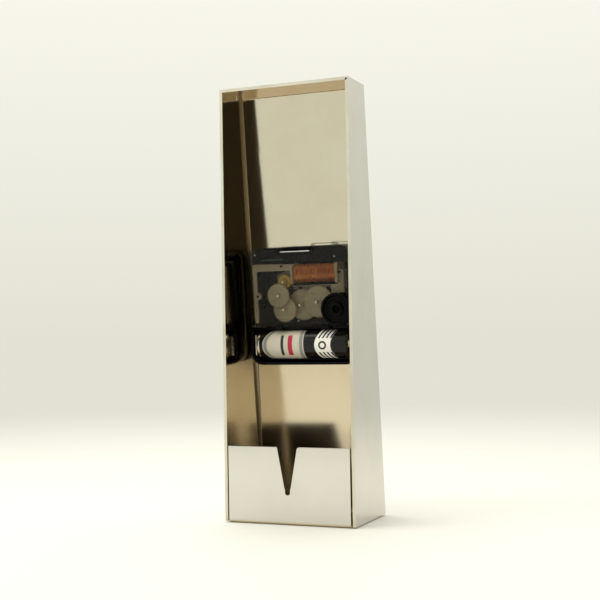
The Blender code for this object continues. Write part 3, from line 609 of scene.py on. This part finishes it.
def make_case():
    """The folded sheet: a solid block less its cavity, its open back, the gaps, the folds and the notch."""
    outer = [(-REAR, 0.0), (REAR, 0.0), (REAR, CASE_H), (plate_y(CASE_H, False), CASE_H)]
    cavity = [
        (plate_y(SHEET, True), SHEET),
        (REAR - SHEET, SHEET),
        (REAR - SHEET, CASE_H - SHEET),
        (plate_y(CASE_H - SHEET, True), CASE_H - SHEET),
    ]
    mouth = rectangle(REAR - 3 * SHEET, REAR + 5, FLAP_H, CASE_H - SHEET)
    side_gap = [
        (-REAR + 3, -2.0),
        (REAR + 5, -2.0),
        (REAR + 5, FLAP_H + 2),
        (REAR - 2 * SHEET, FLAP_H + 2),
        (REAR - 2 * SHEET, SHEET + 1),
        (-REAR + 3, SHEET + 1),
    ]
    lift = rectangle(-REAR - 5, REAR + 5, -2.0, FLANK_LIFT)
    folds = []
    for corner in (0, 1):
        radii = [BEND_R if i == corner else 0 for i in range(4)]
        arc = rounded(outer, radii, BEND_STEPS)[corner : corner + BEND_STEPS + 1]
        y, z = outer[corner]
        folds.append(arc + [(y + math.copysign(1.0, y), z - 1.0)])
    shaft_hole = prism(circle(SHAFT_HOLE_R), -4.0, 3.0)
    bmesh.ops.transform(shaft_hole, matrix=TO_CLOCK, verts=shaft_hole.verts)
    relief_at = (-HALF_W + CORNER_RELIEF_IN, CASE_H - CORNER_RELIEF_IN)
    cuts = [
        along_x(prism(rounded(cavity, [0.8, 0.8, 0, 0.5]), -INNER_W, INNER_W)),
        along_x(prism(mouth, -INNER_W, INNER_W)),
        along_x(prism(side_gap, INNER_W - GAP_RIGHT, INNER_W)),
        along_x(prism(side_gap, -INNER_W, -INNER_W + GAP_LEFT)),
        along_x(prism(lift, INNER_W - GAP_RIGHT, HALF_W + 2)),
        along_x(prism(lift, -HALF_W - 2, -INNER_W + GAP_LEFT)),
        along_x(prism(folds[0], -INNER_W, INNER_W)),
        along_x(prism(folds[1], -INNER_W, INNER_W)),
        along_y(prism(notch_outline(), REAR - 3 * SHEET, REAR + 5)),
        shaft_hole,
        along_y(prism(circle(CORNER_RELIEF_R, relief_at, 16), REAR - 2.0, REAR + 3.0)),
    ]
    case = new_piece("folded_case", along_x(prism(outer, -HALF_W, HALF_W)), STEELS)
    combine(case, cuts, "DIFFERENCE")
    combine(case, [inner_bend(side) for side in (-1, 1)], "UNION")
    shade(case)
    bevel(case, 0.28, 3, 40.0)
    bake(case)
    paint_case(case)
    finish_piece(case, "case", "polished_steel", "case_shell")


def paint_case(case):
    """Outer faces, inner faces, the narrow cut edges and the hollow folds take their own finish; the inner
    finish carries a painted warm reflection and the fold finish painted shade.
    """
    near, slack, square_on = 0.12, 0.02, 0.9
    for face in case.data.polygons:
        x, y, z = (c / MM for c in face.center)
        off_plate = (TO_MOVEMENT @ face.center).z / MM
        outer_flap = y > REAR - near and z < FLAP_H and abs(x) < INNER_W - 0.2
        outside = abs(x) > HALF_W - near or z < near or z > CASE_H - near or y < plate_y(z, False) + near
        faces_back, faces_up = abs(face.normal.y) > square_on, abs(face.normal.z) > square_on
        rim = faces_back and y > REAR - near and not (z < FLAP_H and abs(x) < INNER_W)
        flank_foot = faces_up and z < FLANK_LIFT + near and abs(x) > INNER_W
        flap_top = faces_up and abs(z - FLAP_H) < near and y > REAR - 2 * SHEET
        in_fold = INNER_W - INNER_BEND_R < abs(x) < INNER_W - slack
        face.material_index = INSIDE
        if outside or outer_flap:
            face.material_index = OUTSIDE
        if rim or flank_foot or flap_top:
            face.material_index = CUT_EDGE
        # The fold finish is darker: painted shade in the crease.
        if in_fold and slack < off_plate < INNER_BEND_R - slack:
            face.material_index = FOLD


def make_case_marks():
    """Slightly lumpy weld spots inside the two top corners."""
    for side in (1, -1):
        blob = bmesh.new()
        bmesh.ops.create_icosphere(blob, subdivisions=3, radius=WELD_R * MM)
        rng = random.Random(4 + side)
        for vert in blob.verts:
            vert.co *= 1 + rng.uniform(-0.12, 0.12)
        corner = Vector((side * (INNER_W - 0.2), 6.0, CASE_H - SHEET - 0.3))
        label = "left" if side > 0 else "right"
        weld = new_piece(f"corner_weld_{label}", blob, [PLATED], Matrix.Translation(corner * MM))
        finish_piece(weld, "case", "polished_steel")


# ---------------------------------------------------------------- camera, light and stage

CAMERA_AT = Vector((-217.28, 521.33, 90.01)) * MM
CAMERA_AIM = Vector((0.38693, -0.92163, 0.02990))
CAMERA_ROLL = -0.0167
CAMERA_LENS = 68.94


def make_camera():
    """The camera, turned to its aim and rolled about it."""
    forward = CAMERA_AIM.normalized()
    right = Vector((forward.y, -forward.x, 0.0)).normalized()
    up = right.cross(forward)
    roll = Matrix.Rotation(-CAMERA_ROLL, 3, forward)
    right, up = roll @ right, roll @ up
    data = bpy.data.cameras.new("camera")
    data.lens = CAMERA_LENS
    data.sensor_width = 36.0
    data.clip_start, data.clip_end = 0.01, 60.0
    camera = bpy.data.objects.new("camera", data)
    bpy.context.collection.objects.link(camera)
    turn = Matrix((right, up, -forward)).transposed()
    camera.matrix_world = Matrix.Translation(CAMERA_AT) @ turn.to_4x4()
    bpy.context.scene.camera = camera


HORIZON = (0.762, 0.755, 0.660)
HALFWAY = (0.831, 0.823, 0.730)
OVERHEAD = (0.99, 0.975, 0.89)
SOFTBOX_TINT = (1.0, 0.98, 0.93)
LIGHT_AIM = (0.0, 0.0, 0.1)
FLOOR_R, FLOOR_FADE, FLOOR_DROP = 12.0, 0.95, 0.0001


def make_world():
    """Pale surroundings, a little brighter overhead than at the horizon."""
    world = bpy.data.worlds.new("studio")
    bpy.context.scene.world = world
    world.use_nodes = True
    tree = world.node_tree
    background = tree.nodes["Background"]
    coords = tree.nodes.new("ShaderNodeTexCoord").outputs["Generated"]
    split = tree.nodes.new("ShaderNodeSeparateXYZ")
    ramp = tree.nodes.new("ShaderNodeValToRGB")
    tree.links.new(coords, split.inputs[0])
    tree.links.new(split.outputs["Z"], ramp.inputs["Fac"])
    stops = ramp.color_ramp.elements
    stops[0].position, stops[0].color = 0.0, (*HORIZON, 1.0)
    stops[1].position, stops[1].color = 0.36, (*OVERHEAD, 1.0)
    middle = stops.new(0.11)
    middle.color = (*HALFWAY, 1.0)
    tree.links.new(ramp.outputs["Color"], background.inputs["Color"])
    background.inputs["Strength"].default_value = 1.0


def area_light(name, place, size, power):
    """A round softbox at place, turned to the clock."""
    data = bpy.data.lights.new(name, "AREA")
    data.shape = "DISK"
    data.size = size
    data.energy = power
    data.color = SOFTBOX_TINT
    lamp = bpy.data.objects.new(name, data)
    bpy.context.collection.objects.link(lamp)
    lamp.location = place
    lamp.rotation_mode = "QUATERNION"
    lamp.rotation_quaternion = (Vector(LIGHT_AIM) - Vector(place)).to_track_quat("-Z", "Y")


def make_floor():
    """Pale floor that melts into the surroundings with distance."""
    mesh = bmesh.new()
    bmesh.ops.create_circle(mesh, cap_ends=True, segments=96, radius=FLOOR_R)
    g = Graph("floor", (0.86, 0.85, 0.80), 0.6)
    floor = new_piece("floor", mesh, [g.material], Matrix.Translation((0, 0, -FLOOR_DROP)))
    x, y, _ = g.split()
    far = g.math("SQRT", g.math("ADD", g.math("MULTIPLY", x, x), g.math("MULTIPLY", y, y)))
    blend = g.node("ShaderNodeMixShader")
    g.plug(g.ramped(far, 0.0, FLOOR_FADE), blend.inputs[0])
    g.plug(g.shader.outputs[0], blend.inputs[1])
    g.plug(g.glow(HORIZON), blend.inputs[2])
    g.surface(blend.outputs[0])


def make_card(name, colour, bearing, distance, centre_z, width, height):
    """A card round the clock, seen only in reflections, that gives the polished steel its depth."""
    mesh = bmesh.new()
    bmesh.ops.create_grid(mesh, x_segments=1, y_segments=1, size=0.5)
    g = Graph(name, (0.0, 0.0, 0.0), 1.0)
    g.surface(g.glow(colour))
    turn = math.radians(bearing)
    matrix = Matrix.Translation((distance * math.sin(turn), distance * math.cos(turn), centre_z))
    matrix = matrix @ Matrix.Rotation(-turn, 4, "Z") @ Matrix.Rotation(math.pi / 2, 4, "X")
    card = new_piece(name, mesh, [g.material], matrix @ Matrix.Diagonal((width, height, 1.0, 1.0)))
    card.visible_camera = False
    card.visible_diffuse = False
    card.visible_shadow = False
    card.visible_transmission = False


def make_stage():
    """Camera, surroundings, floor, the two reflection cards and the two softboxes."""
    make_camera()
    make_world()
    make_floor()
    make_card(
        "dark_card",
        (0.036, 0.030, 0.019),
        bearing=-33.0,
        distance=0.45,
        centre_z=0.33,
        width=0.52,
        height=0.66,
    )
    make_card(
        "light_card",
        (0.98, 1.06, 1.04),
        bearing=24.0,
        distance=0.78,
        centre_z=0.25,
        width=0.54,
        height=0.50,
    )
    area_light("softbox_top", place=(0.35, 0.12, 1.3), size=1.1, power=7.5)
    area_light("softbox_left", place=(1.1, 0.9, 0.7), size=0.8, power=4.0)
    scene = bpy.context.scene
    scene.view_settings.view_transform = "Standard"
    scene.view_settings.look = "None"


# ---------------------------------------------------------------- movement housing

BODY_LEFT, BODY_RIGHT, BODY_TOP, BODY_R = -27.8, 28.2, 28.4, 5.5
COVER_LOW, COVER_RIM, COVER_IN, COVER_OUT = -10.7, 5.3, 13.6, 14.6
RECESS_LEFT, RECESS_RIGHT, RECESS_FLOOR, RECESS_FLARE = -9.2, 7.2, 26.1, 1.5
LOOP_LEFT, LOOP_RIGHT, LOOP_RISE, LOOP_FRONT, LOOP_BACK = 7.4, 21.4, 1.6, 12.2, 13.9
COVER_WALL, KNOB_HOLE_R, PIVOT_HOLE_R = 1.0, 2.35, 0.58


def top_corners(low, high, wall):
    """The cover's top edge from right to left, down into the recess and up, at wall inside its outline."""
    return [
        (BODY_RIGHT - wall, high),
        (RECESS_RIGHT + RECESS_FLARE + wall, high),
        (RECESS_RIGHT + wall, low),
        (RECESS_LEFT - wall, low),
        (RECESS_LEFT - RECESS_FLARE - wall, high),
        (BODY_LEFT + wall, high),
    ]


def make_cover():
    """The smoke cover, open towards the dial, with its pivot holes, and the loop on its top edge."""
    wall = COVER_WALL
    foot = [(BODY_LEFT, COVER_LOW), (BODY_RIGHT, COVER_LOW)]
    top = top_corners(RECESS_FLOOR, BODY_TOP, 0.0)
    outline = rounded(foot + top, [0, 0, BODY_R, 0.8, 0.8, 0.8, 0.8, BODY_R])
    foot = [(BODY_LEFT + wall, COVER_LOW + 0.8), (BODY_RIGHT - wall, COVER_LOW + 0.8)]
    top = top_corners(RECESS_FLOOR - wall, BODY_TOP - wall, wall)
    inside = rounded(foot + top, [0, 0, BODY_R - wall, 0, 0, 0, 0, BODY_R - wall])
    cuts = [
        prism(inside, COVER_RIM - 1, COVER_IN),
        turned([(COVER_IN - 1, KNOB_HOLE_R), (COVER_OUT + 1, KNOB_HOLE_R)], KNOB_AT),
    ]
    for at in (ROTOR_AT, FIFTH_AT, FOURTH_AT, CENTRE, THIRD_AT):
        cuts.append(turned([(COVER_IN - 1, PIVOT_HOLE_R), (COVER_OUT + 1, PIVOT_HOLE_R)], at, 24))
    cover = built("smoke_cover", [prism(outline, COVER_RIM, COVER_OUT)], [SMOKE], cuts, edge=0.45)
    finish_piece(cover, "case", "smoke_moulding", "movement_cover")

    ring = rectangle(LOOP_LEFT, LOOP_RIGHT, BODY_TOP + 0.02, BODY_TOP + LOOP_RISE)
    eye = rectangle(LOOP_LEFT + 1.7, LOOP_RIGHT - 1.7, BODY_TOP + 0.3, BODY_TOP + 1.0)
    hook = built(
        "hanging_loop",
        [prism(rounded(ring, [0, 0, 1.2, 1.2]), LOOP_FRONT, LOOP_BACK)],
        [SMOKE],
        [prism(rounded(eye, 0.3), LOOP_FRONT - 1, LOOP_BACK + 1)],
        edge=0.2,
    )
    finish_piece(hook, "case", "smoke_moulding")


PIN_R, PIN_LEN = 0.55, 1.6
MARK_R, MARK_LEN = 0.32, 0.3
PIN_SPOTS = ((-16.2, 23.9), (-12.0, 15.6), (-8.9, 19.3), (-3.7, 8.6), (0.8, 8.4), (15.1, 8.2), (21.2, 15.5))
PIN_SPOTS += ((-25.3, -7.9), (-21.8, -8.0), (3.8, -7.9), (23.1, 23.9))
MARK_SPOTS = ((-22.5, 25.3), (19.3, 23.1), (-1.1, -7.7))


def make_cover_details():
    """Moulded pins and ejector marks on the cover's inner side, and a bright plated strip along its recess
    that paints in the highlight on the recess edge.
    """
    kinds = (("pin", PIN_SPOTS, BLACK, PIN_LEN, PIN_R), ("dimple", MARK_SPOTS, PLATED, MARK_LEN, MARK_R))
    for kind, spots, material, reach, size in kinds:
        tip = COVER_IN - reach
        shape = [(tip, 0.6 * size), (tip + 0.15, 0.9 * size), (COVER_IN + 0.25, size)]
        for number, spot in enumerate(spots, 1):
            pin = new_piece(f"cover_{kind}_{number}", turned(shape, spot, 20), [material], TO_CLOCK)
            finish_piece(pin, "case", "smoke_moulding")
    # A plated strip, not a real part: it stands in for a painted highlight on the recess edge.
    face = rectangle(RECESS_LEFT + 0.4, RECESS_RIGHT - 0.4, RECESS_FLOOR - 0.05, RECESS_FLOOR + 0.4)
    highlight_strip = built("recess_highlight_strip", [prism(face, 13.3, 14.5)], [PLATED], edge=0.18)
    finish_piece(highlight_strip, "case", "smoke_moulding")


def soften(node, width, material):
    """A CAD solid shown as it is, with its faces joined up and its edges eased."""
    shown = frame["nodes"][node]
    weld = shown.modifiers.new("weld", "WELD")
    weld.merge_threshold = 0.00001
    if width:
        bevel(shown, width, 2, SHARP_ANGLE)
    shown.data.materials.clear()
    shown.data.materials.append(material)
    shade(shown)


def carry_cad_nodes():
    """The nodes that are shown as their CAD solids, with their finish and the width of their eased edges."""
    for node in ("fifth_wheel", "fourth_wheel", "second_wheel", "third_wheel", "centre_wheel"):
        soften(node, 0.05, CLEAR)
    for node in ("intermediate_wheel", "hour_wheel", "setting_idler", "minute_pipe"):
        soften(node, 0.05, CLEAR)
    soften("rotor", 0.06, AMBER)
    soften("gear_bridge", 0.15, BLACK_MATTE)
    soften("coil_frame", 0.15, CREAM)
    soften("coil_core", 0.1, IRON)
    soften("stator", 0.08, IRON)
    soften("circuit_board", 0.1, CIRCUIT)
    soften("driver_chip", 0.0, EPOXY)
    soften("quartz_crystal", 0.0, PLATED)
    soften("battery_contact_negative", 0.05, PLATED)
    soften("battery_contact_positive", 0.05, PLATED)
    soften("movement_base", 0.3, BLACK)
    soften("mounting_bush", 0.15, BRASS)
    soften("mounting_nut", 0.25, BRASS)
    soften("dial_washer", 0.1, BRASS)
    soften("rubber_washer", 0.1, RUBBER)
    for node in ("hour_hand", "minute_hand", "second_hand"):
        soften(node, 0.12, LACQUER)
    for hour in (12, 3, 6, 9):
        soften(f"hour_mark_{hour}", 0.1, LACQUER)


# ---------------------------------------------------------------- cell, coil and knob

CELL_V, CELL_W, CELL_R = -19.6, 9.2, 7.1
CELL_LEFT, CELL_RIGHT, NUB_LEN = -24.5, 26.0, 1.1


def make_cell():
    """The sleeve with its rolled ends, the flat cap on the left and the nub on the right."""
    at = TO_CLOCK @ Matrix.Translation(Vector((0, CELL_V, CELL_W)) * MM)
    end = CELL_RIGHT - NUB_LEN
    sleeve = [
        (CELL_LEFT + 2.6, CELL_R - 0.9),
        (CELL_LEFT + 2.35, CELL_R - 0.7),
        (CELL_LEFT + 2.4, CELL_R - 0.25),
        (CELL_LEFT + 2.6, CELL_R - 0.06),
        (CELL_LEFT + 2.9, CELL_R),
        (end - 1.4, CELL_R),
        (end - 0.9, CELL_R - 0.1),
        (end - 0.5, CELL_R - 0.4),
        (end - 0.35, CELL_R - 0.9),
        (end - 0.45, CELL_R - 1.4),
        (end - 0.9, CELL_R - 1.6),
    ]
    body = new_piece("cell_sleeve", along_x(turned(sleeve, count=96)), [JACKET], at)
    finish_piece(body, "battery", "cell_jacket", "battery_cell")
    bottom = [
        (CELL_LEFT, 2.0),
        (CELL_LEFT, 4.6),
        (CELL_LEFT + 0.25, 5.3),
        (CELL_LEFT + 0.5, 5.9),
        (CELL_LEFT + 0.7, 6.5),
        (CELL_LEFT + 1.2, 6.85),
        (CELL_LEFT + 1.7, 6.92),
        (CELL_LEFT + 2.8, 6.92),
    ]
    cap = new_piece("cell_negative_cap", along_x(turned(bottom, count=64)), [PLATED], at)
    finish_piece(cap, "battery", "cell_jacket")
    top = [
        (end - 1.2, 5.7),
        (end - 0.6, 5.5),
        (end - 0.5, 3.0),
        (end - 0.3, 2.75),
        (CELL_RIGHT - 0.35, 2.7),
        (CELL_RIGHT, 2.3),
    ]
    nub = new_piece("cell_positive_cap", along_x(turned(top, count=64)), [PLATED], at)
    finish_piece(nub, "battery", "cell_jacket")


COIL_V, COIL_W, COIL_R = 15.2, 8.6, 4.65
COIL_LEFT, COIL_RIGHT, COIL_TURNS, COIL_BORE = -2.9, 18.7, 74, 2.7


def make_coil():
    """Layer-wound wire: one fine ridge for each visible turn, with a slightly uneven lay."""
    at = TO_CLOCK @ Matrix.Translation(Vector((0, COIL_V, COIL_W)) * MM)
    rng = random.Random(11)
    pitch = (COIL_RIGHT - COIL_LEFT) / COIL_TURNS
    profile = [(COIL_LEFT, COIL_BORE)]
    for i in range(COIL_TURNS):
        low = COIL_LEFT + i * pitch
        crown = COIL_R - 0.02 - rng.uniform(0.0, 0.03)
        profile += [(low + 0.04 * pitch, crown - 0.07), (low + 0.5 * pitch, crown)]
    profile += [(COIL_RIGHT, COIL_R - 0.12), (COIL_RIGHT, COIL_BORE)]
    winding = new_piece("wound_coil", along_x(turned(profile, closed=True)), [COPPER], at)
    finish_piece(winding, "case", "copper_wire", "coil_winding")


KNOB_TEETH, KNOB_R, KNOB_LOW, KNOB_HIGH = 54, 7.95, 15.05, 17.75


def make_knob():
    """The serrated rim, the stepped dish inside it and the shaft."""
    edge = []
    for i in range(KNOB_TEETH):
        for share, drop in ((0.0, 0.42), (0.22, 0.08), (0.5, 0.0), (0.78, 0.08)):
            angle = 2 * math.pi * (i + share) / KNOB_TEETH
            reach = KNOB_R - drop
            edge.append((KNOB_AT[0] + reach * math.cos(angle), KNOB_AT[1] + reach * math.sin(angle)))
    rim = built(
        "knob_rim",
        [prism(edge, KNOB_LOW, KNOB_HIGH)],
        [BLACK_MATTE],
        [turned([(16.4, 5.9), (16.6, 6.1), (17.2, 6.5), (18.5, 7.1)], KNOB_AT, 64)],
        edge=0.1,
        segments=2,
    )
    finish_piece(rim, "setting_knob", "black_moulding", "setting_knob")
    steps = [(16.2, 6.2), (16.75, 6.2), (16.75, 5.2), (16.5, 5.0), (16.5, 3.7), (16.7, 3.5)]
    steps += [(17.2, 3.3), (17.35, 3.0), (17.35, 1.9), (16.9, 1.6), (16.4, 1.5)]
    dish = new_piece("knob_dish", turned(steps, KNOB_AT, 64), [BLACK_MATTE], TO_CLOCK)
    finish_piece(dish, "setting_knob", "black_moulding")
    shaft = turned([(1.1, 0.78), (3.5, 0.78), (3.7, 1.7), (5.2, 1.7), (5.3, 2.1), (15.2, 2.1)], KNOB_AT, 32)
    stem = new_piece("knob_shaft", shaft, [BLACK_MATTE], TO_CLOCK)
    finish_piece(stem, "setting_knob", "black_moulding")


HUB_BORE = 0.52


def make_hubs():
    """Raised hubs on the wheels that show through the cover."""
    hubs = (
        ("fifth_wheel", FIFTH_AT, 13.0, 1.5),
        ("fourth_wheel", FOURTH_AT, 11.9, 1.3),
        ("second_wheel", CENTRE, 9.2, 1.9),
        ("third_wheel", THIRD_AT, 10.8, 1.9),
        ("rotor", ROTOR_AT, 13.0, 1.2),
    )
    for node, at, level, radius in hubs:
        body = "second_hand" if node == "second_wheel" else node
        material = CREAM if node == "rotor" else CLEAR
        low, high = level - 0.05, level + 0.45
        ring = [(low, HUB_BORE), (low, radius), (level + 0.3, radius), (high, radius - 0.2), (high, HUB_BORE)]
        hub = new_piece(f"{node}_hub", turned(ring, at, 32, closed=True), [material], TO_CLOCK)
        finish_piece(hub, body, "clear_moulding")


make_stage()
make_case()
make_case_marks()
carry_cad_nodes()
make_cover()
make_cover_details()
make_cell()
make_coil()
make_knob()
make_hubs()
